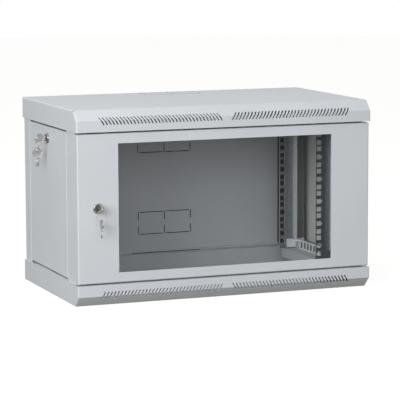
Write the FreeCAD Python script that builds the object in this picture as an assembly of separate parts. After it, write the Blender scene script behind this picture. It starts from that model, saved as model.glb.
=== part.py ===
import FreeCAD, Part
import math
import os

# Wall mount network cabinet, 6 rack units, 600 wide and 350 deep, in millimetres.
# +X is right, +Y runs back to the wall and +Z is up. The origin is the middle of the
# footprint, on the surface that the cabinet stands on.

# Driving dimensions: cabinet
width = 600.0
depth = 350.0
rack_units = 6
rack_unit = 44.45
rail_margin = 10.05          # frame height beyond the rack opening, at each end
cap_height = 40.6
cap_sheet = 1.2
cap_corner_radius = 3.0
bevel_run = 19.4             # the front bevel of a cap, along Y and along Z
front_lip = 40.0             # lips turned in round the open side of a cap
side_lip = 60.0
rear_side_lip = 38.0
back_lip = 12.0
lip_return = 20.0            # flange folded from each side lip into the cap
lip_return_back_gap = 56.0
relief_width = 2.4           # square bend relief at the front corners of a cap

# Driving dimensions: vents along the fold of a cap
vent_pitch = 6.92
vent_inner_x = 15.0
vent_end_margin = 49.0
vent_width = 2.9
vent_reach = 8.1             # sheet length of a vent on each side of the fold
vent_lean = 0.548            # sideways travel per millimetre of sheet

# Driving dimensions: cable knock-outs
knockout_width = 57.0
knockout_height = 45.5
knockout_slit = 1.8
knockout_corner_bridge = 2.5
knockout_middle_bridge = 12.0
roof_knockout_inset = 15.0
back_knockout_inset = 36.4

# Driving dimensions: frame
body_inset = 4.0             # side skins stand in from the sides of the caps
post_sheet = 1.5
bend_flat = 1.4              # flat across the outside of each bend in a frame piece
post_face = 46.0             # painted strip beside the door
rear_post_face = 38.0
post_front_inset = 28.0      # the posts stand behind the door
post_front_flange = 24.0
post_back_flange = 40.0
rebate_share = 12.0          # step that the side panels seat in
front_rebate = 12.0
rear_rebate = 35.5
post_flange_share = 18.0     # flange that carries the depth brackets
side_rail_sheet = 1.2
side_rail_bottom_leg = 15.4
side_rail_top_leg = 17.4
back_sheet = 1.2
back_panel_edge = 28.0
back_panel_gap = 1.0
wall_hole_radius = 4.5
wall_hole_edge = 21.0
wall_hole_end = 28.4

# Driving dimensions: 19-inch rails and their brackets
rack_hole_columns = 465.1
rack_opening = 451.6
rail_sheet = 2.0
rail_margin_share = 16.2     # rail flange outside its holes
rail_web = 16.0
rail_lip_share = 4.5
rail_gap_share = 3.0         # from a rail's lip to the bracket
rail_end_gap = 1.4
rack_hole = 9.5
rack_hole_mark = 3.0
front_rail_setback = 93.0    # rail face behind the front of the caps
rear_rail_forward = 76.0     # rail face in front of the wall plane
bracket_sheet = 2.0
bracket_height = 20.0
bracket_tab_gap = 0.8        # from a bracket's tab to the side rail
bracket_slot_width = 6.0
bracket_slot_length = 12.0
bracket_slot_pitch = 15.4
bracket_slot_margin = 15.0
cleat_leg = 22.0
cleat_overlap = 14.5         # of a cleat on its rail's flange
cleat_bolt_share = 0.6       # bolt's place along the cleat's leg

# Driving dimensions: door
door_inset_x = 2.0
door_recess = 3.0            # door face behind the front of the caps
door_depth = 22.0
door_gap_bottom = 2.6
door_gap_top = 3.2
door_sheet = 1.2
door_corner_radius = 2.5
stile_width = 80.2
door_rail_width = 19.1
door_side_hem = 14.0
door_end_hem = 7.5
glass_thickness = 4.0
glass_overlap = 10.0
seal_thickness = 1.0
seal_width = 8.0
clip_sheet = 1.2
clip_width = 16.0
clip_bite = 6.0
clip_leg = 5.2               # from the glass edge to the leg on the door skin
clip_spread = 0.65           # outer clips' place, as a share of the half glass
hinge_pin_radius = 3.0
hinge_running_clearance = 0.08
hinge_from_side = 10.0
hinge_pin_length = 21.0
hinge_pin_inside = 4.0       # of the pin's length, within the door
hinge_collar_radius = 5.2    # hexagonal collar that carries the door, across its corners
hinge_face_clearance = 0.1

# Driving dimensions: removable side panels
panel_sheet = 1.0
panel_gap = 1.2
panel_gap_bottom = 4.0
panel_gap_top = 4.6
panel_corner_radius = 2.0
tongue_width = 20.0
tongue_share = 10.0          # length of a side panel's tongue
tongue_inset = 49.0          # from each end of the side panel
tongue_clearance = 1.0

# Driving dimensions: cam locks and keys
lock_head_radius = 10.0
lock_head_height = 3.0
barrel_radius = 8.0
plug_radius = 5.5
plug_running_clearance = 0.06
lock_nut_flats = 20.0
lock_nut_height = 4.0
cam_width = 11.0
cam_reach = 25.0
cam_sheet = 2.0
cam_clearance = 1.5
barrel_to_cam = 0.5
plug_recess = 0.2            # plug's face below the top of the lock's head
cam_screw_radius = 1.6
cam_screw_grip = 3.0
door_lock_from_side = 40.0
side_lock_drop = 27.4        # below the roof cap
key_sheet = 2.0
key_bow_radius = 9.5
key_hole_radius = 2.3
key_hole_offset = 4.8
key_blade_width = 7.0
key_blade_length = 17.0      # beyond the bow
key_end_web = 1.2            # between the key's tip and the cam screw
key_shoulder = 8.96          # width of the neck under the bow
key_bites = (1.4, 0.8, 1.8, 1.1)
key_bite_pitch = 2.6
key_bite_width = 1.8
key_first_bite = 1.2         # from the end of the blade's point
key_slot_clearance = 0.2
ring_radius = 10.0
ring_wire_radius = 0.8
ring_section = 1.2           # side of the ring's square section
ring_sides = 24
lock_sides = 24              # of a lock's head, barrel and bore
key_sides = 16
key_hole_sides = 12
ring_gap = 0.35

# Driving dimensions: fasteners
hole_clearance = 0.05
bolt_width = 5.6             # square neck of the bolts that hold the rails
bolt_head_radius = 5.8
bolt_head_height = 3.4
bolt_tail = 3.0
cam_screw_head_radius = 3.2
cam_screw_head_height = 1.6

# Worked out from the driving dimensions
half_width = width / 2
front_y = -depth / 2
back_y = depth / 2
body_height = rack_units * rack_unit + 2 * rail_margin
body_bottom = cap_height
body_top = cap_height + body_height
height = body_top + cap_height
middle_z = height / 2
skin_x = half_width - body_inset
rack_hole_edge_x = rack_hole_columns / 2 + rack_hole / 2 + rack_hole_mark
side_room = skin_x - bracket_sheet - rack_hole_edge_x
side_shares = (rebate_share + post_flange_share + rail_gap_share + rail_lip_share
               + rail_margin_share)
share = side_room / side_shares
rebate_depth = rebate_share * share
tongue_length = tongue_share * share
post_inner_flange = post_flange_share * share
rail_web_lip = rail_lip_share * share
rebate_x = skin_x - rebate_depth
post_inner_x = rebate_x - post_inner_flange
post_front_y = front_y + post_front_inset
front_strip_back_y = post_front_y + post_face
front_inner_y = front_strip_back_y + front_rebate
rear_strip_front_y = back_y - rear_post_face
rear_inner_y = rear_strip_front_y - rear_rebate
front_rail_y = front_y + front_rail_setback
rear_rail_y = back_y - rear_rail_forward
rail_edge_x = rack_opening / 2
rail_web_x = rack_hole_edge_x + rail_margin_share * share
bracket_x = post_inner_x - bracket_sheet
door_front_y = front_y + door_recess
door_back_y = door_front_y + door_depth
door_side_x = half_width - door_inset_x
door_bottom = body_bottom + door_gap_bottom
door_top = body_top - door_gap_top
window_x = door_side_x - stile_width
window_bottom = door_bottom + door_rail_width
window_top = door_top - door_rail_width
hinge_x = door_side_x - hinge_from_side + 2 * door_sheet
hinge_y = door_front_y + door_depth / 2
door_lock_x = -(door_side_x - door_lock_from_side)
door_lock_z = (door_bottom + door_top) / 2 + 1.3
side_lock_y = (front_strip_back_y + rear_strip_front_y) / 2
side_lock_z = body_top - side_lock_drop
door_cam_depth = post_front_y + post_sheet + cam_clearance - door_front_y
side_cam_depth = rebate_depth + side_rail_sheet + cam_clearance
key_inserted = lock_head_height + side_cam_depth - cam_screw_grip - key_end_web
key_bow_to_tip = key_bow_radius + key_blade_length
key_hole_reach = lock_head_height - key_inserted + key_bow_to_tip + key_hole_offset


def vector(x, y, z):
    return FreeCAD.Vector(x, y, z)


def block(x0, x1, y0, y1, z0, z1):
    return Part.makeBox(x1 - x0, y1 - y0, z1 - z0, vector(x0, y0, z0))


def rod(radius, start, end):
    line = end - start
    return Part.makeCylinder(radius, line.Length, start, line)


def mirror_x(shape):
    return shape.mirror(vector(0, 0, 0), vector(1, 0, 0))


def mirror_z(shape):
    """The same piece turned over about the cabinet's middle height."""
    return shape.mirror(vector(0, 0, middle_z), vector(0, 0, 1))


# Folded sheet -----------------------------------------------------------------

def offset_path(points, distance):
    """Corners of an open path moved to its left by distance, with mitred corners."""
    normals = []
    for (ax, ay), (bx, by) in zip(points, points[1:]):
        length = math.hypot(bx - ax, by - ay)
        normals.append((-(by - ay) / length, (bx - ax) / length))
    moved = []
    for i, (x, y) in enumerate(points):
        nx, ny = normals[max(i - 1, 0)]
        mx, my = normals[min(i, len(normals) - 1)]
        scale = distance / (1 + nx * mx + ny * my)
        moved.append((x + (nx + mx) * scale, y + (ny + my) * scale))
    return moved


def corner_turn(before, corner, after):
    """Signed turn of a path at a corner, in radians, positive to the left."""
    heading_in = math.atan2(corner[1] - before[1], corner[0] - before[0])
    heading_out = math.atan2(after[1] - corner[1], after[0] - corner[0])
    return (heading_out - heading_in + math.pi) % (2 * math.pi) - math.pi


def outer_flats(path, side):
    """The path with a flat across each corner that turns towards side."""
    kept = [path[0]]
    for before, corner, after in zip(path, path[1:], path[2:]):
        if corner_turn(before, corner, after) * side <= 0:
            kept.append(corner)
            continue
        for x, y in (before, after):
            share_of_leg = bend_flat / math.hypot(x - corner[0], y - corner[1])
            kept.append((corner[0] + (x - corner[0]) * share_of_leg,
                         corner[1] + (y - corner[1]) * share_of_leg))
    kept.append(path[-1])
    return kept


def folded_sheet(points, sheet, place, travel):
    """Sheet folded along points, with its thickness to the left of the path, or to
    the right where sheet is negative, and a flat across the outside of each bend."""
    near = outer_flats(points, sheet)
    far = outer_flats(offset_path(points, sheet), -sheet)
    corners = [place(*point) for point in near + far[::-1]]
    return Part.Face(Part.makePolygon(corners + corners[:1])).extrude(travel)


def upright(points, sheet, z0, z1):
    """Folded sheet with its section in plan, standing from z0 to z1."""
    return folded_sheet(points, sheet, lambda x, y: vector(x, y, z0), vector(0, 0, z1 - z0))


def lengthwise(points, sheet, y0, y1):
    """Folded sheet with its section across the cabinet, running from y0 to y1."""
    return folded_sheet(points, sheet, lambda x, z: vector(x, y0, z), vector(0, y1 - y0, 0))


def prism(radius, sides, start, travel, first=0):
    """Regular prism about the line from start along travel, with corners at radius."""
    corners = []
    for i in range(sides + 1):
        angle = math.radians(first + 360 * (i % sides) / sides)
        corners.append(vector(radius * math.cos(angle), radius * math.sin(angle), 0))
    form = Part.Face(Part.makePolygon(corners)).extrude(vector(0, 0, travel.Length))
    form.Placement = FreeCAD.Placement(start, FreeCAD.Rotation(vector(0, 0, 1), travel))
    return form


def square_prism(width, start, travel):
    """Square bar of a width about the line from start along travel, sides upright."""
    return prism(width / math.sqrt(2), 4, start, travel, 45)


# Roof and base caps -----------------------------------------------------------

def cap_profile(inset):
    """Section of the roof in Y and Z, moved in by inset, from front bottom to back."""
    outline = [
        (front_y, body_top),
        (front_y, height - bevel_run),
        (front_y + bevel_run, height),
        (back_y, height),
        (back_y, body_top),
    ]
    return offset_path(outline, -inset)


def cap_block(inset, bottom_z):
    """Closed form of the roof, moved in by inset, down to bottom_z."""
    outline = cap_profile(inset)
    outline[0] = (outline[0][0], bottom_z)
    outline[-1] = (outline[-1][0], bottom_z)
    x = half_width - inset
    corners = [vector(-x, y, z) for y, z in outline + outline[:1]]
    return Part.Face(Part.makePolygon(corners)).extrude(vector(2 * x, 0, 0))


def side_outline_edges(body):
    """The cap's edges along its two side faces, apart from the open mouth's."""
    return [edge for edge in body.Edges
            if edge.BoundBox.XLength < 1e-3 and edge.BoundBox.ZMax > body_top + 1e-3]


def vent_cutters():
    """One leaning slot on each side of the fold for every vent, handed about x = 0."""
    cutters = []
    count = int((half_width - vent_end_margin - vent_inner_x) / vent_pitch) + 1
    fold = vector(0, front_y, height - bevel_run)
    up_bevel = vector(0, 1, 1).normalize()
    depth_in = 3 * cap_sheet
    for side in (-1, 1):
        for i in range(count):
            x = side * (vent_inner_x + i * vent_pitch)
            for along, inward in ((vector(0, 0, -1), vector(0, 1, 0)),
                                  (up_bevel, vector(0, 1, -1).normalize())):
                drift = side * vent_lean * (1 if along.z > 0 else -1)
                cutters.append(vent_slot(fold, x, along, drift, inward * depth_in))
    return cutters


def vent_slot(fold, x, along, drift, through):
    """Half of a vent: a leaning strip from the fold, as punched before folding."""
    half = vector(vent_width / 2, 0, 0)
    start = fold + vector(x, 0, 0)
    end = start + vector(drift * vent_reach, 0, 0) + along * vent_reach
    corners = [start - half, end - half, end + half, start + half, start - half]
    strip = Part.Face(Part.makePolygon(corners))
    strip.translate(through * -0.5)
    return strip.extrude(through * 1.5)


def knockout_slits(u_middle, v0):
    """Slits round a pair of knock-outs, as rectangles (u0, u1, v0, v1), with bridges."""
    v1 = v0 + knockout_height
    half = knockout_slit / 2
    slits = []
    for column in (-1, 0, 1):
        u = u_middle + column * knockout_width
        reach = (knockout_height - knockout_middle_bridge) / 2
        slits.append((u - half, u + half, v0 - half, v0 + reach))
        slits.append((u - half, u + half, v1 - reach, v1 + half))
    for u in (u_middle - knockout_width, u_middle):
        for v in (v0, v1):
            u0 = u + half + knockout_corner_bridge
            u1 = u + knockout_width - half - knockout_corner_bridge
            slits.append((u0, u1, v - half, v + half))
    return slits


def roof():
    outside = cap_block(0, body_top)
    outside = outside.makeFillet(cap_corner_radius, side_outline_edges(outside))
    shell = outside.cut(cap_block(cap_sheet, body_top + cap_sheet))
    inner_x = half_width - side_lip
    rear_x = half_width - rear_side_lip
    return_back_y = back_y - lip_return_back_gap
    lip_z = (body_top - 1, body_top + cap_sheet + 1)
    mouth = block(-inner_x, inner_x, front_y + front_lip, return_back_y, *lip_z)
    mouth = mouth.fuse(block(-rear_x, rear_x, return_back_y - 1, back_y - back_lip, *lip_z))
    shell = shell.cut(mouth)
    for side in (-1, 1):
        x0, x1 = sorted((side * inner_x, side * (inner_x + cap_sheet)))
        flange = block(x0, x1, front_y + front_lip, return_back_y,
                       body_top, body_top + lip_return)
        shell = shell.fuse(flange)
    cuts = vent_cutters()
    for u0, u1, v0, v1 in knockout_slits(0, back_y - roof_knockout_inset - knockout_height):
        cuts.append(block(u0, u1, v0, v1, height - 2 * cap_sheet, height + 1))
    for side in (-1, 1):
        corner = vector(side * half_width, front_y + bevel_run, height)
        inward = vector(-side, 0, -1).normalize()
        cuts.append(square_prism(relief_width, corner, inward * 3 * cap_corner_radius))
    hinge = vector(hinge_x, hinge_y, body_top - 1)
    cuts.append(rod(hinge_pin_radius + hinge_running_clearance, hinge,
                    hinge + vector(0, 0, 1 + 2 * cap_sheet)))
    return shell.cut(Part.makeCompound(cuts)).removeSplitter()


# Frame ------------------------------------------------------------------------

def feet(x0, x1, y0, y1):
    """A foot plate folded into each end of a post, spot-welded to the cap's lip."""
    return [block(x0, x1, y0, y1, z0, z0 + post_sheet)
            for z0 in (body_bottom, body_top - post_sheet)]


def front_post():
    """Right-hand front post: door stop flange, painted strip, rebate, inner flange."""
    outline = [
        (skin_x - post_front_flange, post_front_y),
        (skin_x, post_front_y),
        (skin_x, front_strip_back_y),
        (rebate_x, front_strip_back_y),
        (rebate_x, front_inner_y),
        (post_inner_x, front_inner_y),
    ]
    post = upright(outline, post_sheet, body_bottom, body_top)
    for foot in feet(skin_x - post_front_flange, skin_x - post_sheet / 2,
                     post_front_y + post_sheet / 2, front_strip_back_y - post_sheet / 2):
        post = post.fuse(foot)
    return post.removeSplitter()


def rear_post():
    """Right-hand rear post: inner flange, rebate, painted strip, wall flange."""
    outline = [
        (post_inner_x, rear_inner_y),
        (rebate_x, rear_inner_y),
        (rebate_x, rear_strip_front_y),
        (skin_x, rear_strip_front_y),
        (skin_x, back_y),
        (skin_x - post_back_flange, back_y),
    ]
    post = upright(outline, post_sheet, body_bottom, body_top)
    for foot in feet(skin_x - post_back_flange, skin_x - post_sheet / 2,
                     rear_strip_front_y + post_sheet / 2,
                     back_panel_faces()[0] - back_panel_gap):
        post = post.fuse(foot)
    x = skin_x - wall_hole_edge
    for z in (body_bottom + wall_hole_end, body_top - wall_hole_end):
        start = vector(x, back_y - 2 * post_sheet, z)
        post = post.cut(rod(wall_hole_radius, start, start + vector(0, 3 * post_sheet, 0)))
    return post.removeSplitter()


def back_panel_faces():
    """Front and back planes of the back panel, welded to the posts' wall flanges."""
    back = back_y - post_sheet
    return back - back_sheet, back


def back_panel():
    y0, y1 = back_panel_faces()
    x = skin_x - back_panel_edge
    panel = block(-x, x, y0, y1, body_bottom + back_panel_gap, body_top - back_panel_gap)
    cuts = []
    for low in (body_bottom + back_knockout_inset,
                body_top - back_knockout_inset - knockout_height):
        for u0, u1, v0, v1 in knockout_slits(0, low):
            cuts.append(block(u0, u1, y0 - 1, y1 + 1, v0, v1))
    return panel.cut(Part.makeCompound(cuts))


def tongue_positions():
    return [front_strip_back_y + tongue_inset, rear_strip_front_y - tongue_inset]


def bottom_side_rail():
    """Right-hand angle under the side panel, slotted for the panel's tongues."""
    inner_x = rebate_x - side_rail_sheet
    outline = [(skin_x, body_bottom), (inner_x, body_bottom),
               (inner_x, body_bottom + side_rail_bottom_leg)]
    rail = lengthwise(outline, -side_rail_sheet, front_inner_y, rear_inner_y)
    z0 = body_bottom + panel_gap_bottom
    for y in tongue_positions():
        reach = tongue_width / 2 + tongue_clearance
        rail = rail.cut(block(inner_x - 1, rebate_x + 1, y - reach, y + reach,
                              z0 - tongue_clearance, z0 + panel_sheet + tongue_clearance))
    return rail


def top_side_rail():
    """Right-hand angle above the side panel, which the lock's cam turns up behind."""
    inner_x = rebate_x - side_rail_sheet
    outline = [(skin_x, body_top), (inner_x, body_top), (inner_x, body_top - side_rail_top_leg)]
    return lengthwise(outline, side_rail_sheet, front_inner_y, rear_inner_y)


# 19-inch rails and brackets -----------------------------------------------------

def rack_hole_cutter(y, z, marked):
    """Square rack hole, with a point towards the post on each unit's middle hole."""
    x = rack_hole_columns / 2
    half = rack_hole / 2
    outline = [(x - half, z - half), (x + half, z - half)]
    if marked:
        outline += [(x + half, z - rack_hole_mark), (x + half + rack_hole_mark, z),
                    (x + half, z + rack_hole_mark)]
    outline += [(x + half, z + half), (x - half, z + half)]
    corners = [vector(px, y - 1, pz) for px, pz in outline + outline[:1]]
    return Part.Face(Part.makePolygon(corners)).extrude(vector(0, rail_sheet + 2, 0))


def rail(face_y):
    """Right-hand 19-inch rail with its face at face_y and its web folded forward."""
    web_y = face_y - rail_web
    outline = [(rail_edge_x, face_y), (rail_web_x, face_y), (rail_web_x, web_y),
               (rail_web_x + rail_web_lip, web_y)]
    z0 = body_bottom + rail_end_gap
    z1 = body_top - rail_end_gap
    section = upright(outline, rail_sheet, z0, z1)
    cuts = []
    for unit in range(rack_units):
        first = body_bottom + rail_margin + unit * rack_unit
        for step, drop in enumerate((6.35, 22.225, 38.1)):
            cuts.append(rack_hole_cutter(face_y, first + drop, step == 1))
    notch = bracket_height + rail_sheet
    for low, high in ((z0 - 1, body_bottom + notch), (body_top - notch, z1 + 1)):
        cuts.append(block(rail_web_x - 1, rail_web_x + rail_web_lip + 1,
                          web_y - 1, face_y, low, high))
    return section.cut(Part.makeCompound(cuts))


def bracket_slot_centres():
    run = rear_inner_y - front_inner_y - 2 * bracket_slot_margin
    count = int(run / bracket_slot_pitch) + 1
    start = rear_inner_y - bracket_slot_margin
    return [start - i * bracket_slot_pitch for i in range(count)]


def nearest_slot(y):
    return min(bracket_slot_centres(), key=lambda centre: abs(centre - y))


def bracket_slot(y):
    """Upright slot through the bracket's long leg."""
    z = body_bottom + bracket_height / 2
    return block(bracket_x - 1, bracket_x + bracket_sheet + 1,
                 y - bracket_slot_width / 2, y + bracket_slot_width / 2,
                 z - bracket_slot_length / 2, z + bracket_slot_length / 2)


def depth_bracket():
    """Bottom right bracket between the posts' inner flanges, slotted for the rails."""
    tab_x = rebate_x - side_rail_sheet - bracket_tab_gap
    outline = [(tab_x, front_inner_y), (bracket_x, front_inner_y),
               (bracket_x, rear_inner_y), (tab_x, rear_inner_y)]
    bracket = upright(outline, -bracket_sheet, body_bottom, body_bottom + bracket_height)
    return bracket.cut(Part.makeCompound([bracket_slot(y) for y in bracket_slot_centres()]))


def rail_cleat(face_y, behind):
    """Bottom right angle welded to a rail's flange, and its bolt to the bracket."""
    sheet = bracket_sheet if behind else -bracket_sheet
    seat_y = face_y + rail_sheet if behind else face_y
    run = cleat_leg if behind else -cleat_leg
    edge_x = rail_web_x - cleat_overlap
    outline = [(edge_x, seat_y), (bracket_x, seat_y), (bracket_x, seat_y + run)]
    low = body_bottom + 2 * rail_end_gap
    cleat = upright(outline, sheet, low, body_bottom + bracket_height)
    z = body_bottom + bracket_height / 2
    seat = vector(bracket_x - bracket_sheet, nearest_slot(seat_y + run * cleat_bolt_share), z)
    through = vector(2 * bracket_sheet + bolt_tail, 0, 0)
    cleat = cleat.cut(square_prism(bolt_width + 2 * hole_clearance,
                                   seat - vector(1, 0, 0), through))
    head = prism(bolt_head_radius, 6, seat - vector(bolt_head_height, 0, 0),
                 vector(bolt_head_height, 0, 0))
    return cleat, head.fuse(square_prism(bolt_width, seat, through)).removeSplitter()


# Door -------------------------------------------------------------------------

def rounded_tray(x0, x1, y0, y1, z0, z1, radius, face, sheet):
    """Tray with its face on one side, where its four edges are rounded."""
    form = block(x0, x1, y0, y1, z0, z1)
    side, level = {"front": ("YMax", y0), "right": ("XMin", x1)}[face]
    rim = [edge for edge in form.Edges if abs(getattr(edge.BoundBox, side) - level) < 1e-3]
    hollow = block(x0 + sheet, x1 - sheet, y0 + sheet, y1 - sheet, z0 + sheet, z1 - sheet)
    return form.makeFillet(radius, rim).cut(hollow)


def door_frame():
    """Door pressed as a tray, hemmed at the back, with its window and lock hole."""
    frame = rounded_tray(-door_side_x, door_side_x, door_front_y, door_back_y,
                         door_bottom, door_top, door_corner_radius, "front", door_sheet)
    cuts = [
        block(door_side_x * -1 + door_side_hem, door_side_x - door_side_hem,
              door_back_y - 2 * door_sheet, door_back_y + 1,
              door_bottom + door_end_hem, door_top - door_end_hem),
        block(-window_x, window_x, door_front_y - 1, door_front_y + 2 * door_sheet,
              window_bottom, window_top),
        prism(barrel_radius + hole_clearance, lock_sides,
              vector(door_lock_x, door_front_y - 1, door_lock_z),
              vector(0, 1 + 2 * door_sheet, 0)),
        rod(hinge_pin_radius + hole_clearance, vector(hinge_x, hinge_y, door_bottom - 1),
            vector(hinge_x, hinge_y, door_top + 1)),
    ]
    return frame.cut(Part.makeCompound(cuts)).removeSplitter()


def glass_y():
    front = door_front_y + door_sheet + seal_thickness
    return front, front + glass_thickness


def door_glass():
    y0, y1 = glass_y()
    x = window_x + glass_overlap
    return block(-x, x, y0, y1, window_bottom - glass_overlap, window_top + glass_overlap)


def glass_seal():
    """Foam strip between the door skin and the glass."""
    outer = glass_overlap
    inner = glass_overlap - seal_width
    y0 = door_front_y + door_sheet
    y1 = y0 + seal_thickness
    strip = block(-window_x - outer, window_x + outer, y0, y1,
                  window_bottom - outer, window_top + outer)
    return strip.cut(block(-window_x - inner, window_x + inner, y0 - 1, y1 + 1,
                           window_bottom - inner, window_top + inner))


def glass_clip():
    """Clip at a glass edge, which runs along X at z = 0 with the glass below."""
    skin_y = door_front_y + door_sheet
    seat_y = glass_y()[1]
    outline = [(seat_y, -clip_bite), (seat_y, clip_leg), (skin_y, clip_leg)]
    return folded_sheet(outline, -clip_sheet,
                        lambda y, z: vector(-clip_width / 2, y, z), vector(clip_width, 0, 0))


def glass_clips():
    """Clips welded to the door along the four edges of the glass."""
    clips = []
    half_height = (window_top - window_bottom) / 2 + glass_overlap
    centre_z = (window_top + window_bottom) / 2
    half_glass = window_x + glass_overlap
    places = [(half_turn, half_height, along) for half_turn in (0, 180)
              for along in (-clip_spread * half_glass, 0, clip_spread * half_glass)]
    places += [(quarter_turn, half_glass, 0) for quarter_turn in (90, 270)]
    for turn, reach, along in places:
        clip = glass_clip()
        clip.translate(vector(along, 0, reach))
        clip.rotate(vector(0, 0, 0), vector(0, 1, 0), turn)
        clip.translate(vector(0, 0, centre_z))
        clips.append(clip)
    return clips


def lower_hinge_pin():
    """Pin riveted into the door's bottom flange, turning in the base cap's lip."""
    start = vector(hinge_x, hinge_y, door_bottom + door_sheet + hinge_pin_inside)
    pin = rod(hinge_pin_radius, start, start - vector(0, 0, hinge_pin_length))
    collar = prism(hinge_collar_radius, 6, vector(hinge_x, hinge_y, door_bottom),
                   vector(0, 0, hinge_face_clearance - door_gap_bottom))
    return pin.fuse(collar).removeSplitter()


def upper_hinge_pin():
    """Pin riveted into the door's top flange, turning in the roof cap's lip."""
    start = vector(hinge_x, hinge_y, door_top - door_sheet - hinge_pin_inside)
    return rod(hinge_pin_radius, start, start + vector(0, 0, hinge_pin_length))


# Side panels --------------------------------------------------------------------

def side_panel():
    """Right-hand removable side: a folded tray with two tongues and a lock hole."""
    z0 = body_bottom + panel_gap_bottom
    z1 = body_top - panel_gap_top
    tray = rounded_tray(rebate_x, skin_x, front_strip_back_y + panel_gap,
                        rear_strip_front_y - panel_gap, z0, z1,
                        panel_corner_radius, "right", panel_sheet)
    tray = tray.cut(block(rebate_x - 1, rebate_x + 2 * panel_sheet,
                          front_strip_back_y + panel_gap + panel_sheet,
                          rear_strip_front_y - panel_gap - panel_sheet,
                          z0 + panel_sheet, z1 - panel_sheet))
    for y in tongue_positions():
        tray = tray.fuse(block(rebate_x - tongue_length, rebate_x + panel_sheet,
                               y - tongue_width / 2, y + tongue_width / 2,
                               z0, z0 + panel_sheet))
    hole = prism(barrel_radius + hole_clearance, lock_sides,
                 vector(skin_x - 2 * panel_sheet, side_lock_y, side_lock_z),
                 vector(1 + 2 * panel_sheet, 0, 0))
    return tray.cut(hole).removeSplitter()


# Locks and keys -----------------------------------------------------------------
# A lock is built about its own axis: Z points out of the cabinet, Y is up, and z = 0
# is the outer face of the sheet that it is fixed in.

def lock_body(cam_depth):
    """Chromed head with a bevelled rim, and the barrel bored for the plug."""
    down = vector(0, 0, -1)
    top = vector(0, 0, lock_head_height)
    head = prism(lock_head_radius, lock_sides, top, down * lock_head_height)
    rim = [edge for edge in head.Edges if edge.BoundBox.ZMin > lock_head_height - 1e-3]
    head = head.makeChamfer(lock_head_height / 2, rim)
    barrel = prism(barrel_radius, lock_sides, vector(0, 0, 0), down * (cam_depth - barrel_to_cam))
    bore_radius = (plug_radius + plug_running_clearance) / math.cos(math.pi / lock_sides)
    bore = prism(bore_radius, lock_sides, top - down, down * (2 + lock_head_height + cam_depth))
    return head.fuse(barrel).cut(bore).removeSplitter()


def lock_nut(sheet):
    down = vector(0, 0, -1)
    nut = prism(lock_nut_flats / math.sqrt(3), 6, down * sheet, down * lock_nut_height)
    return nut.cut(prism(barrel_radius + hole_clearance, lock_sides, vector(0, 0, 0),
                         down * 3 * lock_nut_height))


def lock_plug(cam_depth):
    """Turning plug with its keyway in front and the cam screw's hole behind."""
    face = lock_head_height - plug_recess
    plug = rod(plug_radius, vector(0, 0, face), vector(0, 0, -cam_depth))
    half_x = key_sheet / 2 + key_slot_clearance
    half_y = key_blade_width / 2 + key_slot_clearance
    keyway = block(-half_x, half_x, -half_y, half_y,
                   lock_head_height - key_inserted - key_slot_clearance, lock_head_height)
    hole = prism(cam_screw_radius + hole_clearance, 6, vector(0, 0, -cam_depth - 1),
                 vector(0, 0, 1 + cam_screw_grip + hole_clearance))
    return plug.cut(keyway).cut(hole)


def lock_cam(cam_depth, angle):
    """Flat cam with cut corners, from the axis out to cam_reach, at angle from down."""
    half = cam_width / 2
    cut = cam_width / 4
    z0 = -cam_depth - cam_sheet
    outline = [(half - cut, half), (half, half - cut), (half, -cam_reach + cut),
               (half - cut, -cam_reach)]
    outline += [(-x, y) for x, y in outline[::-1]]
    corners = [vector(x, y, z0) for x, y in outline + outline[:1]]
    cam = Part.Face(Part.makePolygon(corners)).extrude(vector(0, 0, cam_sheet))
    cam.rotate(vector(0, 0, 0), vector(0, 0, 1), angle)
    return cam.cut(prism(cam_screw_radius + hole_clearance, 6, vector(0, 0, z0 - 1),
                         vector(0, 0, cam_sheet + 2)))


def lock_cam_screw(cam_depth):
    seat = vector(0, 0, -cam_depth - cam_sheet)
    head = prism(cam_screw_head_radius, 6, seat, vector(0, 0, -cam_screw_head_height))
    shank = prism(cam_screw_radius, 6, seat, vector(0, 0, cam_sheet + cam_screw_grip))
    return head.fuse(shank).removeSplitter()


def key():
    """Flat key: its ring hole is at the origin and its blade points along -Y."""
    half = key_sheet / 2
    centre_y = -key_hole_offset
    tip_y = centre_y - key_bow_to_tip
    bow = prism(key_bow_radius, key_sides, vector(-half, centre_y, 0),
                vector(key_sheet, 0, 0))
    shoulder = key_shoulder / 2
    neck = block(-half, half, tip_y + key_inserted, centre_y, -shoulder, shoulder)
    blade_half = key_blade_width / 2
    point = key_blade_width / 4
    outline = [(centre_y, -blade_half), (tip_y + point, -blade_half), (tip_y, -point)]
    outline += [(tip_y, point), (tip_y + point, blade_half)]
    reach = key_bite_width / 2
    for cut, bite in enumerate(key_bites):
        y = tip_y + point + key_first_bite + key_bite_pitch * cut
        outline += [(y - reach, blade_half), (y, blade_half - bite), (y + reach, blade_half)]
    outline += [(centre_y, blade_half)]
    corners = [vector(-half, y, z) for y, z in outline + outline[:1]]
    blade = Part.Face(Part.makePolygon(corners)).extrude(vector(key_sheet, 0, 0))
    whole = bow.fuse(neck).fuse(blade).removeSplitter()
    return whole.cut(prism(key_hole_radius, key_hole_sides, vector(-half - 1, 0, 0),
                           vector(key_sheet + 2, 0, 0)))


def key_in_lock():
    """Key pushed into the keyway, its bow upright."""
    shape = key()
    shape.rotate(vector(0, 0, 0), vector(1, 0, 0), 90)
    shape.translate(vector(0, 0, key_hole_reach))
    return shape


wire_drop = key_hole_radius - ring_wire_radius - ring_gap


def key_ring():
    """Ring of flat wire through the key's hole, hanging square to the bow."""
    start = vector(0, -wire_drop - ring_radius, key_hole_reach - ring_section / 2)
    across = vector(0, 0, ring_section)
    outer = prism(ring_radius + ring_section / 2, ring_sides, start, across)
    return outer.cut(prism(ring_radius - ring_section / 2, ring_sides, start, across))


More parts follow.
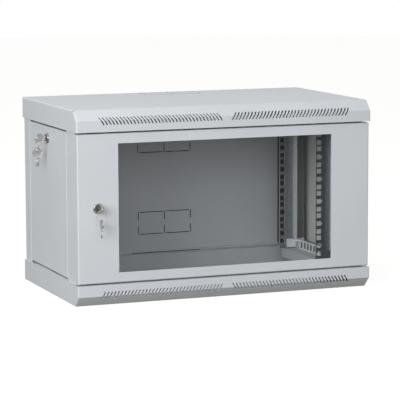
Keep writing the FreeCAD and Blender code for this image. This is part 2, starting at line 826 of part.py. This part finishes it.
def spare_key():
    """Second key, hanging from the ring's lowest point."""
    shape = key()
    shape.translate(vector(0, -2 * (wire_drop + ring_radius), key_hole_reach))
    return shape


def placed(shape, right, up, out, origin):
    """Shape moved from a lock's own axes to its place on the cabinet."""
    matrix = FreeCAD.Matrix(right.x, up.x, out.x, origin.x,
                            right.y, up.y, out.y, origin.y,
                            right.z, up.z, out.z, origin.z,
                            0, 0, 0, 1)
    moved = shape.copy()
    moved.Placement = FreeCAD.Placement(matrix).multiply(shape.Placement)
    return moved


def add_lock(nodes, name, sheet, cam_depth, cam_angle, out, origin, with_keys):
    """A cam lock's five pieces, and its key, ring and spare key."""
    up = vector(0, 0, 1)
    right = up.cross(out)
    pieces = {
        name + "_lock_body": lock_body(cam_depth),
        name + "_lock_nut": lock_nut(sheet),
        name + "_lock_plug": lock_plug(cam_depth),
        name + "_lock_cam": lock_cam(cam_depth, cam_angle),
        name + "_lock_cam_screw": lock_cam_screw(cam_depth),
    }
    if with_keys:
        pieces[name + "_key"] = key_in_lock()
        pieces[name + "_key_ring"] = key_ring()
        pieces[name + "_spare_key"] = spare_key()
    for node, shape in pieces.items():
        nodes[node] = placed(shape, right, up, out, origin)


# Assembly -----------------------------------------------------------------------

def pair(nodes, name, shape):
    """A right-hand piece and its mirror image on the left."""
    nodes[name + "_right"] = shape
    nodes[name + "_left"] = mirror_x(shape)


def build():
    nodes = {}
    cap = roof()
    nodes["roof"] = cap
    nodes["base"] = mirror_z(cap)
    nodes["back_panel"] = back_panel()
    pair(nodes, "front_post", front_post())
    pair(nodes, "rear_post", rear_post())
    pair(nodes, "bottom_side_rail", bottom_side_rail())
    pair(nodes, "top_side_rail", top_side_rail())
    pair(nodes, "front_rack_rail", rail(front_rail_y))
    pair(nodes, "rear_rack_rail", rail(rear_rail_y))
    pair(nodes, "bottom_depth_bracket", depth_bracket())
    pair(nodes, "top_depth_bracket", mirror_z(depth_bracket()))
    cleats = []
    bolts = []
    for face_y, behind in ((front_rail_y, True), (rear_rail_y, False)):
        for group, shape in zip((cleats, bolts), rail_cleat(face_y, behind)):
            for turned in (shape, mirror_z(shape)):
                group += [turned, mirror_x(turned)]
    nodes["rail_cleats"] = Part.makeCompound(cleats)
    nodes["rail_bolts"] = Part.makeCompound(bolts)
    nodes["door_frame"] = door_frame()
    nodes["door_glass"] = door_glass()
    nodes["glass_seal"] = glass_seal()
    nodes["glass_clips"] = Part.makeCompound(glass_clips())
    nodes["lower_hinge_pin"] = lower_hinge_pin()
    nodes["upper_hinge_pin"] = upper_hinge_pin()
    pair(nodes, "side_panel", side_panel())
    add_lock(nodes, "door", door_sheet, door_cam_depth, 0, vector(0, -1, 0),
             vector(door_lock_x, door_front_y, door_lock_z), True)
    add_lock(nodes, "left", panel_sheet, side_cam_depth, -90, vector(-1, 0, 0),
             vector(-skin_x, side_lock_y, side_lock_z), True)
    add_lock(nodes, "right", panel_sheet, side_cam_depth, 90, vector(1, 0, 0),
             vector(skin_x, side_lock_y, side_lock_z), False)
    return nodes


os.makedirs("parts", exist_ok=True)
for node, shape in build().items():
    shape.exportStep(os.path.join("parts", node + ".step"))
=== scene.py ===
import bpy
import bmesh
import math
from mathutils import Matrix, Vector


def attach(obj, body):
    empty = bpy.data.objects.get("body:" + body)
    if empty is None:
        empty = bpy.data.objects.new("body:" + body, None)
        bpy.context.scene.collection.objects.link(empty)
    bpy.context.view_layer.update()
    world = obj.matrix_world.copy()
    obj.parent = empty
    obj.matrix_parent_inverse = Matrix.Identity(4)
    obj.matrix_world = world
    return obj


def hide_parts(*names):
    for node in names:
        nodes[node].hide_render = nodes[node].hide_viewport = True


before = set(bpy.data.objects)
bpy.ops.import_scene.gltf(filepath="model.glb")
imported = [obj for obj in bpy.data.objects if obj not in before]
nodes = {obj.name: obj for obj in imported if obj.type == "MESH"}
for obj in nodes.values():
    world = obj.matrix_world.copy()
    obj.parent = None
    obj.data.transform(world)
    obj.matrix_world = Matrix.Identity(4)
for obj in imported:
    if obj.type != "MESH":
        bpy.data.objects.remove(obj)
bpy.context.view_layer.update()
scene = bpy.context.scene

# Camera: a long lens standing a little above the roof and to the left of the door, so
# that the left side cover, the whole front and the roof are seen together.
lens_length = 187.85
pan_right = 0.370
tilt_down = 0.133
roll_right = 0.004
camera_data = bpy.data.cameras.new("camera")
camera_data.lens = lens_length
camera_data.sensor_width = 36.0
camera_data.clip_end = 50.0
camera = bpy.data.objects.new("camera", camera_data)
camera_pan = Matrix.Rotation(-pan_right, 4, "Z")
camera_tilt = Matrix.Rotation(math.pi / 2 - tilt_down, 4, "X")
camera_roll = Matrix.Rotation(-roll_right, 4, "Z")
camera_place = Matrix.Translation((-1.4703, -3.8209, 0.7143))
camera.matrix_world = camera_place @ camera_pan @ camera_tilt @ camera_roll
scene.collection.objects.link(camera)
scene.camera = camera
scene.view_settings.view_transform = "Standard"


# Studio: a white floor and surround that leave a faint shadow under the cabinet. The
# surround lights the cabinet evenly, and shows white wherever it is seen or mirrored.
class Wire:
    """A shader socket that can be used in sums and products."""

    def __init__(self, tree, socket):
        self.tree = tree
        self.socket = socket

    def combined(self, operation, first, second):
        made = add_node(self.tree, "ShaderNodeMath", {"operation": operation},
                        {0: first, 1: second})
        return Wire(self.tree, made.outputs[0])

    def __add__(self, other):
        return self.combined("ADD", self, other)

    def __radd__(self, other):
        return self.combined("ADD", other, self)

    def __sub__(self, other):
        return self.combined("SUBTRACT", self, other)

    def __rsub__(self, other):
        return self.combined("SUBTRACT", other, self)

    def __mul__(self, other):
        return self.combined("MULTIPLY", self, other)

    def __rmul__(self, other):
        return self.combined("MULTIPLY", other, self)

    def __gt__(self, other):
        return self.combined("GREATER_THAN", self, other)

    def __lt__(self, other):
        return self.combined("LESS_THAN", self, other)


def add_node(tree, kind, settings=None, values=None):
    """Adds one node of a kind, with its settings, then its sockets' values or links."""
    made = tree.nodes.new(kind)
    for name, value in (settings or {}).items():
        if name != "stops":
            setattr(made, name, value)
            continue
        ramp = made.color_ramp
        while len(ramp.elements) < len(value):
            ramp.elements.new(0.5)
        for element, (place, colour) in zip(ramp.elements, value):
            element.position = place
            element.color = (*colour, 1.0)
    for name, value in (values or {}).items():
        if isinstance(value, Wire):
            tree.links.new(value.socket, made.inputs[name])
        else:
            made.inputs[name].default_value = value
    return made


def new_material(name):
    """An empty node material and its output."""
    material = bpy.data.materials.new(name)
    material.use_nodes = True
    tree = material.node_tree
    tree.nodes.clear()
    return material, tree, tree.nodes.new("ShaderNodeOutputMaterial")


def light_path(tree, *kinds):
    """Factor that is 1 for rays of these kinds."""
    path = add_node(tree, "ShaderNodeLightPath")
    return sum((Wire(tree, path.outputs[kind]) for kind in kinds[1:]),
               Wire(tree, path.outputs[kinds[0]]))


def glow(tree, level):
    return Wire(tree, add_node(tree, "ShaderNodeEmission", None,
                               {"Color": (level, level, level, 1.0)}).outputs[0])


def mixed(tree, factor, first, second):
    made = add_node(tree, "ShaderNodeMixShader", None, {0: factor, 1: first, 2: second})
    return Wire(tree, made.outputs[0])


surround_light = (0.96, 0.98, 1.0, 1.0)
surround_light_strength = 0.46
surround_white = (1.0, 1.0, 1.0, 1.0)
world = bpy.data.worlds.new("studio_surround")
scene.world = world
world.use_nodes = True
tree = world.node_tree
tree.nodes.clear()
surround_output = tree.nodes.new("ShaderNodeOutputWorld")
surround_lit, surround_seen = (
    Wire(tree, add_node(tree, "ShaderNodeBackground", None,
                        {"Color": colour, "Strength": strength}).outputs[0])
    for colour, strength in ((surround_light, surround_light_strength),
                             (surround_white, 1.0)))
surround = mixed(
    tree, light_path(tree, "Is Camera Ray", "Is Glossy Ray", "Is Transmission Ray"),
    surround_lit, surround_seen)
tree.links.new(surround.socket, surround_output.inputs[0])


def flat_piece(name, material, form):
    """An object of the studio made from a bmesh."""
    mesh = bpy.data.meshes.new(name)
    form.to_mesh(mesh)
    form.free()
    mesh.materials.append(material)
    made = bpy.data.objects.new(name, mesh)
    scene.collection.objects.link(made)


floor_radius = 9.0
floor_tone = (0.31, 0.30, 0.28, 1.0)
floor_level_seen = 0.84
floor_level_mirrored = 0.10
floor_material, tree, floor_output = new_material("studio_floor")
floor_paint = add_node(tree, "ShaderNodeBsdfDiffuse", None, {"Color": floor_tone})
floor_glow = mixed(tree, light_path(tree, "Is Camera Ray", "Is Transmission Ray"),
                   glow(tree, 0.0), glow(tree, floor_level_seen))
floor_glow = mixed(tree, light_path(tree, "Is Glossy Ray"), floor_glow,
                   glow(tree, floor_level_mirrored))
floor_sum = add_node(tree, "ShaderNodeAddShader", None,
                     {0: floor_glow, 1: Wire(tree, floor_paint.outputs[0])})
tree.links.new(floor_sum.outputs[0], floor_output.inputs[0])
floor_form = bmesh.new()
bmesh.ops.create_circle(floor_form, cap_ends=True, radius=floor_radius,
                        segments=64)
flat_piece("studio_floor", floor_material, floor_form)

# Shade card: a dark sheet of the studio close behind the back panel, painted shade for a
# wall.
# It is seen dark through the panel's slits from in front, and from behind it isn't
# seen. It throws no shade on the cabinet.
card_middle = (0.0, 0.1765, 0.184)
card_size = (0.56, 0.300, 1.0, 1.0)
card_level = 0.015
card_material, tree, card_output = new_material("shade_card")
card_back = Wire(tree, add_node(tree, "ShaderNodeNewGeometry").outputs["Backfacing"])
behind_slits = light_path(tree, "Is Camera Ray") * (1 - card_back)
clear = add_node(tree, "ShaderNodeBsdfTransparent")
card_mix = mixed(tree, behind_slits, Wire(tree, clear.outputs[0]),
                 glow(tree, card_level))
tree.links.new(card_mix.socket, card_output.inputs[0])
card_form = bmesh.new()
bmesh.ops.create_grid(card_form, x_segments=1, y_segments=1, size=0.5, matrix=(
    Matrix.Translation(card_middle) @ Matrix.Rotation(math.pi / 2, 4, "X")
    @ Matrix.Diagonal(card_size)))
flat_piece("shade_card", card_material, card_form)


# Lamps: three soft boxes. The large one on the left shines through the door's glass,
# one stands before the door, and a faint one hangs over the roof.
def add_lamp(name, place, width, height, power):
    """White rectangular lamp at place, facing the middle of the cabinet."""
    data = bpy.data.lights.new(name, "AREA")
    data.shape = "RECTANGLE"
    data.size = width
    data.size_y = height
    data.energy = power
    lamp = bpy.data.objects.new(name, data)
    facing = (cabinet_middle - Vector(place)).to_track_quat("-Z", "Y")
    lamp.matrix_world = Matrix.Translation(place) @ facing.to_matrix().to_4x4()
    scene.collection.objects.link(lamp)


cabinet_middle = Vector((0.0, 0.0, 0.2))
add_lamp("left_soft_box", (-2.5, -1.9, 1.1), width=2.2, height=1.6, power=65.0)
add_lamp("front_soft_box", (-0.6, -3.1, 1.0), width=2.0, height=1.0, power=22.0)
add_lamp("top_soft_box", (-0.5, -0.9, 2.6), width=1.5, height=1.0, power=10.0)

# Powder coat: light grey paint baked on the folded steel, with the fine orange peel of
# the powder and a faint unevenness in its gloss. Some parts of the coat carry painted
# shade, and the side covers' inner skin carries painted light.
def dressed(node_names, material):
    """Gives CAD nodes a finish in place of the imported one."""
    for name in node_names:
        mesh = nodes[name].data
        mesh.materials.clear()
        mesh.materials.append(material)


def object_place(tree):
    return Wire(tree, add_node(tree, "ShaderNodeTexCoord").outputs["Object"])


def object_facing(tree):
    return Wire(tree, add_node(tree, "ShaderNodeTexCoord").outputs["Normal"])


def axes(tree, vector):
    """The three parts of a vector."""
    parts = add_node(tree, "ShaderNodeSeparateXYZ", None, {0: vector})
    return [Wire(tree, part) for part in parts.outputs]


def absolute(wire):
    return wire.combined("ABSOLUTE", wire, 0.0)


def noise(tree, place, scale, detail, roughness=0.5):
    made = add_node(tree, "ShaderNodeTexNoise", None,
                    {"Vector": place, "Scale": scale, "Detail": detail,
                     "Roughness": roughness})
    return Wire(tree, made.outputs["Fac"])


def ramp(tree, factor, stops):
    made = add_node(tree, "ShaderNodeValToRGB", {"stops": stops}, {"Fac": factor})
    return Wire(tree, made.outputs["Color"])


def bump(tree, height, distance, strength=1.0):
    made = add_node(tree, "ShaderNodeBump", None,
                    {"Height": height, "Distance": distance, "Strength": strength})
    return Wire(tree, made.outputs["Normal"])


def finish_with(tree, output, values):
    """Principled surface with these sockets, joined to the material's output."""
    surface = add_node(tree, "ShaderNodeBsdfPrincipled", None, values)
    tree.links.new(surface.outputs[0], output.inputs["Surface"])


def mask_between(wire, low, high):
    return (wire > low) * (wire < high)


coat_dark = (0.568, 0.592, 0.622)
coat_light = (0.598, 0.622, 0.651)
peel_scale = 900.0
peel_depth = 0.00006
painted_tone_roughness = 0.4


def coat(name, painted_tone_mask=None, shade=0.02):
    """Powder coat, with painted shade or light where the mask of place and facing is 1."""
    material, tree, output = new_material(name)
    place = object_place(tree)
    cloud = noise(tree, place, 7.0, 3.0)
    gloss = 0.38 + 0.10 * noise(tree, place, 30.0, 3.0)
    if painted_tone_mask:
        mask = painted_tone_mask(axes(tree, place), axes(tree, object_facing(tree)))
        # Where the mask is 1 the coat takes the level shade: painted shade when dark,
        # painted light when pale.
        cloud = cloud * (1 - mask)
        gloss = gloss + painted_tone_roughness * mask
    finish_with(tree, output, {
        "Base Color": ramp(tree, cloud, [(0.0, (shade, shade, shade)), (0.12, coat_dark),
                                         (0.3, coat_dark), (0.7, coat_light)]),
        "Roughness": gloss,
        "Normal": bump(tree, noise(tree, place, peel_scale, 2.0), peel_depth, 0.35),
    })
    return material


knockout_reach = 0.075
knockout_front = 0.10
knockout_back = 0.168
back_margin = 0.2530
cover_skin = 0.2954
angle_inner = 0.286
post_rebate = 0.2945
post_flange = 0.1745
square_on = 0.7
half_turned = 0.5


def knockout_slit_shade(place, facing):
    """Slit edges round the roof's and base's cable knock-outs, painted near black as
    shade.
    """
    return ((absolute(place[0]) < knockout_reach)
            * mask_between(place[1], knockout_front, knockout_back)
            * (absolute(facing[2]) < half_turned))


def back_shades(place, facing):
    """The back's slit edges and the margins behind the rails, painted near black as shade.
    """
    slits = (absolute(place[0]) < knockout_reach) * (absolute(facing[1]) < half_turned)
    return slits + (absolute(place[0]) > back_margin) * (facing[1] < -half_turned)


def cover_inner_painted_light(place, facing):
    """Inner skin of the side covers, painted paler than the coat: painted light."""
    return (absolute(place[0]) < cover_skin) * (absolute(facing[0]) > square_on)


def seat_angle_shade(place, facing):
    """Inner side of the angles under and above the covers, behind the brackets: painted
    shade.
    """
    return (absolute(place[0]) < angle_inner) * (absolute(facing[0]) > square_on)


def inner_folds(place, facing):
    """Inner folds of the rear posts, with the frame's shade painted on."""
    return (absolute(place[0]) < post_rebate) * (place[1] < post_flange)


# The masks below paint shade into the coat, and paint light on the covers' inner skin.
dressed(["front_post_left", "front_post_right", "door_frame"],
        coat("light_grey_powder_coat"))
dressed(["back_panel"], coat("light_grey_powder_coat_back", back_shades))
dressed(["bottom_side_rail_left", "bottom_side_rail_right", "top_side_rail_left",
         "top_side_rail_right"], coat("light_grey_powder_coat_angles", seat_angle_shade, 0.10))
dressed(["roof", "base"], coat("light_grey_powder_coat_caps", knockout_slit_shade))
dressed(["rear_post_left", "rear_post_right"],
        coat("light_grey_powder_coat_posts", inner_folds, 0.17))
dressed(["side_panel_left", "side_panel_right"],
        coat("light_grey_powder_coat_covers", cover_inner_painted_light, 0.80))

# 19-inch rails: galvanised strip, rolled and punched, left bare, with faint zinc
# crystals. Their flanges carry painted shade and their sides painted light, by facing,
# and the rear pair is painted paler as painted light.
galvanised_steel, tree, output = new_material("galvanised_steel")
place = object_place(tree)
crystal = add_node(tree, "ShaderNodeTexVoronoi", None, {"Vector": place, "Scale": 420.0})
tone = add_node(tree, "ShaderNodeSeparateColor", None,
                {0: Wire(tree, crystal.outputs["Color"])})
tone = Wire(tree, tone.outputs[0])
grime = noise(tree, place, 60.0, 4.0)
# Painted shade on the flanges, painted light on the sides and on the rear pair.
sideways = absolute(axes(tree, object_facing(tree))[0])
rear_pair_painted_light = axes(tree, place)[1] > 0.0
finish_with(tree, output, {
    "Base Color": ramp(tree, sideways * 0.7 + rear_pair_painted_light * 0.12 + tone * 0.1 + grime * 0.08,
                       [(0.05, (0.21, 0.23, 0.24)), (0.2, (0.28, 0.305, 0.315)),
                        (0.9, (0.88, 0.91, 0.94))]),
    "Metallic": 0.9 - 0.5 * sideways,
    "Roughness": 0.34 + 0.04 * grime,
    "Normal": bump(tree, grime, 0.00002, 0.1),
})
dressed(["front_rack_rail_left", "front_rack_rail_right", "rear_rack_rail_left",
         "rear_rack_rail_right"], galvanised_steel)

# Depth brackets and cleats: folded from brighter zinc-coated sheet, dulled by
# handling, with painted shade near black on the end walls of the brackets' slots.
bracket_inner = 0.2638
bracket_outer = 0.2665
bright_zinc, tree, output = new_material("zinc_coated_sheet")
place = object_place(tree)
handling = noise(tree, place, 45.0, 4.0)
facing = axes(tree, object_facing(tree))
# Painted shade: the slots' end walls are made near black.
slot_painted_shade = (absolute(facing[1]) > square_on) * mask_between(
    absolute(axes(tree, place)[0]), bracket_inner, bracket_outer)
finish_with(tree, output, {
    "Base Color": ramp(tree, handling * (1 - slot_painted_shade),
                       [(0.0, (0.03, 0.03, 0.03)), (0.12, (0.80, 0.83, 0.85)),
                        (0.3, (0.80, 0.83, 0.85)), (0.7, (0.88, 0.90, 0.92))]),
    "Metallic": 0.15,
    "Roughness": 0.36 + 0.12 * handling,
    "Normal": bump(tree, handling, 0.00008, 0.3),
})
dressed(["bottom_depth_bracket_left", "bottom_depth_bracket_right",
         "top_depth_bracket_left", "top_depth_bracket_right", "rail_cleats"], bright_zinc)

# Bright zinc plate: nuts, cams and their screws, glass clips, rail bolts and hinge
# pins, all stamped or turned steel with a thin plated coat.
zinc_plate, tree, output = new_material("zinc_plated_steel")
place = object_place(tree)
streak = noise(tree, place, 260.0, 4.0)
finish_with(tree, output, {
    "Base Color": ramp(tree, streak, [(0.3, (0.50, 0.51, 0.52)),
                                      (0.7, (0.68, 0.69, 0.70))]),
    "Metallic": 0.9,
    "Roughness": 0.24 + 0.18 * streak,
    "Normal": bump(tree, streak, 0.00003, 0.3),
})
dressed([name for name in nodes if name.endswith(
    ("_nut", "_cam", "_cam_screw", "_clips", "_bolts", "_pin"))], zinc_plate)

# Lock heads: each head and its barrel are one zinc casting, turned to a round stepped
# rim, chromed, and held in the sheet by the nut behind.
crease_angle = math.radians(32)
doubles_within = 1e-6


def new_piece(name, form, material, body, slot_name, *replaced):
    """A shown piece that stands for CAD nodes and moves with a body."""
    bmesh.ops.remove_doubles(form, verts=form.verts, dist=doubles_within)
    bmesh.ops.recalc_face_normals(form, faces=form.faces)
    mesh = bpy.data.meshes.new(name)
    form.to_mesh(mesh)
    form.free()
    mesh.materials.append(material)
    made = bpy.data.objects.new(name, mesh)
    scene.collection.objects.link(made)
    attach(made, body)
    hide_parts(*replaced)
    for face in mesh.polygons:
        face.use_smooth = True
    mesh.set_sharp_from_angle(angle=crease_angle)


def lock_place(outward, seat):
    """From a lock's own axes, with Z outward and Y up, to its place on the cabinet."""
    outward = Vector(outward)
    upward = Vector((0.0, 0.0, 1.0))
    turn = Matrix((upward.cross(outward), upward, outward)).transposed().to_4x4()
    return Matrix.Translation(seat) @ turn


def turned(form, outline, steps):
    """Closed outline of (radius, height) turned round the form's Z axis."""
    corners = [form.verts.new((radius, 0.0, height)) for radius, height in outline]
    edges = [form.edges.new(pair) for pair in zip(corners, corners[1:] + corners[:1])]
    bmesh.ops.spin(form, geom=corners + edges, cent=(0, 0, 0), axis=(0, 0, 1),
                   angle=2 * math.pi, steps=steps, use_merge=True)


lock_chrome, tree, output = new_material("lock_chrome")
place = object_place(tree)
haze = noise(tree, place, 500.0, 3.0)
finish_with(tree, output, {
    "Base Color": ramp(tree, haze, [(0.3, (0.31, 0.305, 0.29)),
                                    (0.7, (0.40, 0.39, 0.375))]),
    "Metallic": 1.0,
    "Roughness": 0.08 + 0.10 * haze,
    "Normal": bump(tree, haze, 0.00002, 0.2),
})
head_radius = 0.00997
thread_radius = 0.00798
bore_radius = 0.00560
rim_height = 0.0012
well_height = 0.0023
door_barrel = 0.0275
cover_barrel = 0.0142
turning_steps = 72
locks = {
    "door": ((0, -1, 0), (-0.258, -0.172, 0.185), door_barrel, "door"),
    "left": ((-1, 0, 0), (-0.296, 0.018, 0.300), cover_barrel, "left_side_cover"),
    "right": ((1, 0, 0), (0.296, 0.018, 0.300), cover_barrel, "right_side_cover"),
}
head_outline = [(bore_radius, well_height), (0.0072, well_height), (0.0077, 0.0028),
                (0.0083, 0.0030), (0.0088, 0.00295), (0.0094, 0.0026), (0.0098, 0.0020),
                (head_radius, rim_height), (head_radius, 0.0)]
for side, (outward, seat, barrel, body) in locks.items():
    form = bmesh.new()
    turned(form, head_outline + [(thread_radius, 0.0), (thread_radius, -barrel),
                                 (bore_radius, -barrel)], turning_steps)
    bmesh.ops.transform(form, matrix=lock_place(outward, seat), verts=form.verts)
    new_piece(side + "_lock_head", form, lock_chrome, body, "chrome",
              side + "_lock_body")

# Lock plugs: brass, plated and worn duller than the heads, with the keyway milled in.
# Each turns in its head's bore.
plug_metal, tree, output = new_material("lock_plug_plate")
place = object_place(tree)
wear = noise(tree, place, 700.0, 4.0)
finish_with(tree, output, {
    "Base Color": ramp(tree, wear, [(0.3, (0.08, 0.078, 0.075)),
                                    (0.7, (0.16, 0.155, 0.15))]),
    "Metallic": 0.9,
    "Roughness": 0.28 + 0.18 * wear,
    "Normal": bump(tree, wear, 0.00003, 0.3),
})
dressed([side + "_lock_plug" for side in locks], plug_metal)

# Keys: stamped from nickel-plated steel, with a sunk round bow, a neck, and a blade
# that is grooved along its length and bitten on one edge.
nickel, tree, output = new_material("nickel_plated_key")
place = object_place(tree)
handled = noise(tree, place, 180.0, 4.0)
finish_with(tree, output, {
    "Base Color": ramp(tree, handled, [(0.3, (0.40, 0.395, 0.385)),
                                       (0.7, (0.55, 0.54, 0.53))]),
    "Metallic": 0.92,
    "Roughness": 0.24 + 0.16 * handled,
    "Normal": bump(tree, handled, 0.00004, 0.4),
})


def thickened(form, faces, thickness, edge):
    """Faces in the XY plane made a plate about z = 0, with its sharp edges eased."""
    grown = bmesh.ops.extrude_face_region(form, geom=faces)["geom"]
    lifted = [item for item in grown if isinstance(item, bmesh.types.BMVert)]
    bmesh.ops.translate(form, vec=(0, 0, thickness), verts=lifted)
    corners = set(lifted).union(corner for face in faces for corner in face.verts)
    bmesh.ops.translate(form, vec=(0, 0, -thickness / 2), verts=list(corners))
    bmesh.ops.recalc_face_normals(form, faces=form.faces)
    sharp = [line for line in form.edges if corners.issuperset(line.verts)
             and len(line.link_faces) == 2 and line.calc_face_angle() > 1.0]
    bmesh.ops.bevel(form, geom=sharp, offset=edge, offset_type="OFFSET", segments=2,
                    profile=0.5, affect="EDGES", material=-1)


def plate(form, outline, thickness, edge):
    """A flat plate with a closed outline of (x, y)."""
    face = form.faces.new([form.verts.new((x, y, 0.0)) for x, y in outline])
    thickened(form, [face], thickness, edge)


bow_radius = 0.0094
bow_drop = 0.0048
bow_thickness = 0.0020
ring_hole_radius = 0.0023
bow_rim = 0.0008
bow_sinking = 0.0002
bow_segments = 48
blade_thickness = 0.0019
groove_thickness = 0.0010
eased_edge = 0.0002
fine_edge = 0.0001
neck_half = 0.0044
neck_top = -0.0129
shoulder_half = 0.0036
blade_half = 0.0034
blade_top = -0.0178
tip = -0.0311
first_bite = -0.0205
bite_pitch = 0.0026
bite_half = 0.0009
bite_depths = (0.0011, 0.0018, 0.0008, 0.0014)


def key_form():
    """A key with its ring hole at the origin and its blade along -Y."""
    form = bmesh.new()
    rings = []
    for radius, drop in ((bow_radius, -bow_drop), (ring_hole_radius, 0.0)):
        made = bmesh.ops.create_circle(form, radius=radius, segments=bow_segments,
                                       matrix=Matrix.Translation((0.0, drop, 0.0)))
        rings += list({line for corner in made["verts"] for line in corner.link_edges})
    bow = bmesh.ops.bridge_loops(form, edges=rings)["faces"]
    thickened(form, bow, bow_thickness, eased_edge)
    for level in (1, -1):
        flat = [face for face in form.faces if face.normal.z * level > 0.99]
        bmesh.ops.inset_region(form, faces=flat, thickness=bow_rim, depth=-bow_sinking,
                               use_even_offset=True, use_boundary=True)
    neck = [(-neck_half, neck_top), (neck_half, neck_top), (neck_half, -0.0172),
            (shoulder_half, -0.0180), (-shoulder_half, -0.0180), (-neck_half, -0.0172)]
    plate(form, neck, blade_thickness, eased_edge)
    spine = [(-blade_half, blade_top), (-0.0012, blade_top), (-0.0012, tip),
             (-0.0018, tip), (-blade_half, -0.0295)]
    plate(form, spine, blade_thickness, fine_edge)
    groove = [(-0.0013, blade_top), (0.0007, blade_top), (0.0007, -0.0312),
              (-0.0013, -0.0312)]
    plate(form, groove, groove_thickness, fine_edge)
    bitten = [(0.0006, blade_top), (blade_half, blade_top)]
    for step, bite in enumerate(bite_depths):
        middle = first_bite - bite_pitch * step
        bitten += [(blade_half, middle + bite_half), (blade_half - bite, middle),
                   (blade_half, middle - bite_half)]
    bitten += [(0.0018, tip), (0.0006, tip)]
    plate(form, bitten, blade_thickness, fine_edge)
    bmesh.ops.rotate(form, verts=form.verts, matrix=Matrix.Rotation(math.pi / 2, 3, "Y"))
    return form


hole_reach = 0.0208            # from a lock's seat out to the ring hole of its key
ring_drop = 0.01115            # from a ring hole down to the middle of the ring
for side in ("door", "left"):
    outward, seat = locks[side][:2]
    inserted = (lock_place(outward, seat) @ Matrix.Translation((0.0, 0.0, hole_reach))
                @ Matrix.Rotation(math.pi / 2, 4, "X"))
    hanging = (lock_place(outward, seat)
               @ Matrix.Translation((0.0, -2 * ring_drop, hole_reach)))
    for name, key_place in (("_key", inserted), ("_spare_key", hanging)):
        form = key_form()
        bmesh.ops.transform(form, matrix=key_place, verts=form.verts)
        new_piece(side + name + "_plated", form, nickel, side + name, "nickel_plated_key",
                  side + name)

# Split rings: two turns of round nickel-plated spring wire, pressed flat together and
# passed through the keys' holes.
wire_radius = 0.0003
ring_radius = 0.0101
wire_segments = 10
for side in ("door", "left"):
    outward, seat = locks[side][:2]
    form = bmesh.new()
    for offset in (-wire_radius, wire_radius):
        upright = Matrix.Rotation(math.pi / 2, 4, "X")
        wire = bmesh.ops.create_circle(
            form, radius=wire_radius, segments=wire_segments,
            matrix=Matrix.Translation((ring_radius, 0.0, offset)) @ upright)
        corners = wire["verts"]
        edges = list({line for corner in corners for line in corner.link_edges})
        bmesh.ops.spin(form, geom=corners + edges, cent=(0, 0, 0), axis=(0, 0, 1),
                       angle=2 * math.pi, steps=turning_steps, use_merge=True)
    ring_place = (lock_place(outward, seat)
                  @ Matrix.Translation((0.0, -ring_drop, hole_reach)))
    bmesh.ops.transform(form, matrix=ring_place, verts=form.verts)
    new_piece(side + "_split_ring", form, nickel, side + "_key_ring", "nickel_plated_key",
              side + "_key_ring")

# Door glass: toughened, grey-tinted and polished. It is seen through and mirrors a
# little, and sits behind the door's window on the foam strip.
tinted_glass, tree, output = new_material("tinted_glass")
place = object_place(tree)
film = noise(tree, place, 4.0, 2.0)
finish_with(tree, output, {
    "Base Color": (0.050, 0.056, 0.056, 1.0),
    "Roughness": 0.03 + 0.04 * film,
    "Alpha": 0.065 + 0.05 * film,
    "Coat Weight": 0.7 + 0.3 * film,
    "IOR": 1.8,
    "Normal": bump(tree, film, 0.0001, 0.1),
})
dressed(["door_glass"], tinted_glass)

# Foam strip under the glass: black, closed-cell and matt, stuck round the window and
# pressed by the glass.
foam, tree, output = new_material("black_foam")
place = object_place(tree)
cells = noise(tree, place, 1400.0, 2.0)
finish_with(tree, output, {
    "Base Color": ramp(tree, cells, [(0.3, (0.012, 0.012, 0.013)),
                                     (0.7, (0.03, 0.03, 0.03))]),
    "Roughness": 0.85 + 0.1 * cells,
    "Normal": bump(tree, cells, 0.0002, 0.6),
})
dressed(["glass_seal"], foam)
